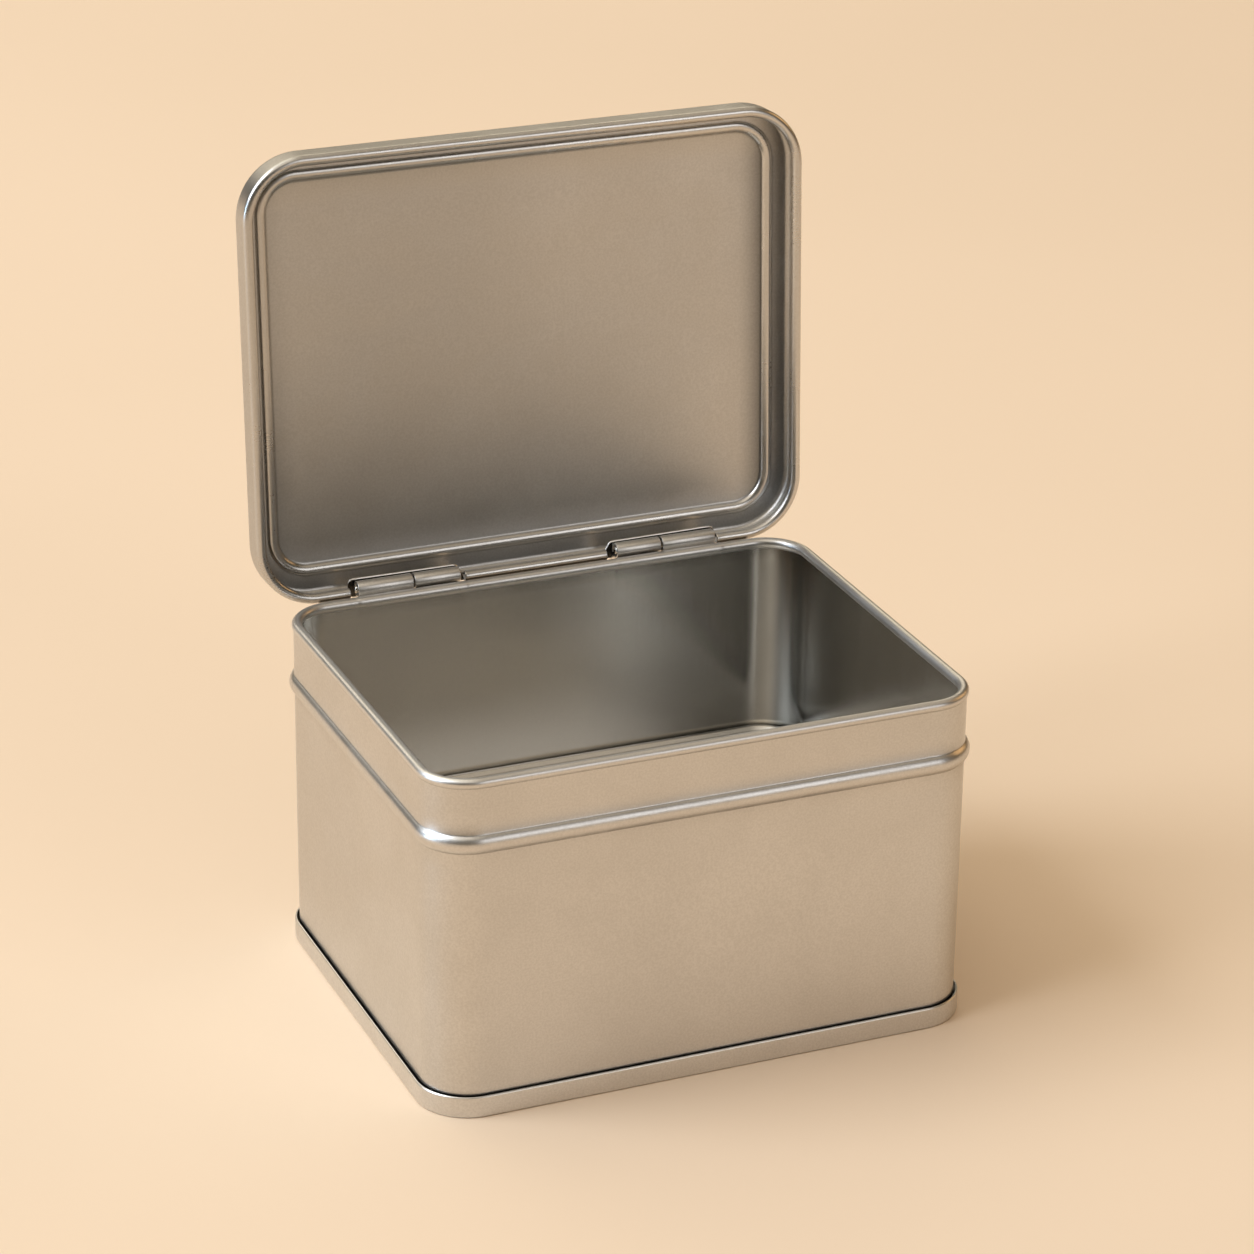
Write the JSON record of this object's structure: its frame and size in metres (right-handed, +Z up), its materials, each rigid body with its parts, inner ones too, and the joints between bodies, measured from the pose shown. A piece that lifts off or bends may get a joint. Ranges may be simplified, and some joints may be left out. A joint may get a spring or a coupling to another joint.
{
  "type": "hinged metal tin",
  "caption": "Deep rectangular sheet-metal tin with rounded corners, rolled rims, a pressed bead, a folded bottom rim and a shallow lid that swings on knuckle hinges at the back.",
  "frame": {"origin": "middle of the tin's base in plan, at the level of the surface that the tin stands on; the flat bottom panel's underside is 0.9 mm above it, inside the folded rim", "axes": "+Z up, X along the long front side with +X to the right seen from the front, +Y towards the back where the hinges are; the part is stored with its lid standing open"},
  "size_m": [0.117, 0.1015, 0.1579],
  "materials": {
    "tinplate_body": "satin tinplate with a fine upright grain and soft wide reflections",
    "tinplate_base": "satin tinplate, slightly duller, worn bright along the folded rim",
    "tinplate_floor": "satin tinplate with light rub marks, seen only inside the tin",
    "tinplate_lid": "satin tinplate with fine handling marks on the inside panel",
    "hinge_strip": "rolled strip, semi-bright, darker in the joints",
    "pin_wire": "bright drawn wire with cropped ends"
  },
  "bodies": {
    "body": {"body_wall": "tinplate_body", "bottom_panel": "tinplate_base", "raised_floor": "tinplate_floor", "hinge_body_leaf_left": "hinge_strip", "hinge_body_leaf_right": "hinge_strip", "hinge_pin_left": "pin_wire", "hinge_pin_right": "pin_wire"},
    "lid": {"lid_shell": "tinplate_lid", "hinge_lid_leaf_left": "hinge_strip", "hinge_lid_leaf_right": "hinge_strip"}
  },
  "joints": [
    {"name": "lid_hinge", "type": "hinge", "parent": "body", "child": "lid", "pos_m": [0, 0.0457, 0.06955], "axis": [1, 0, 0], "range_deg": [0, 93]}
  ]
}
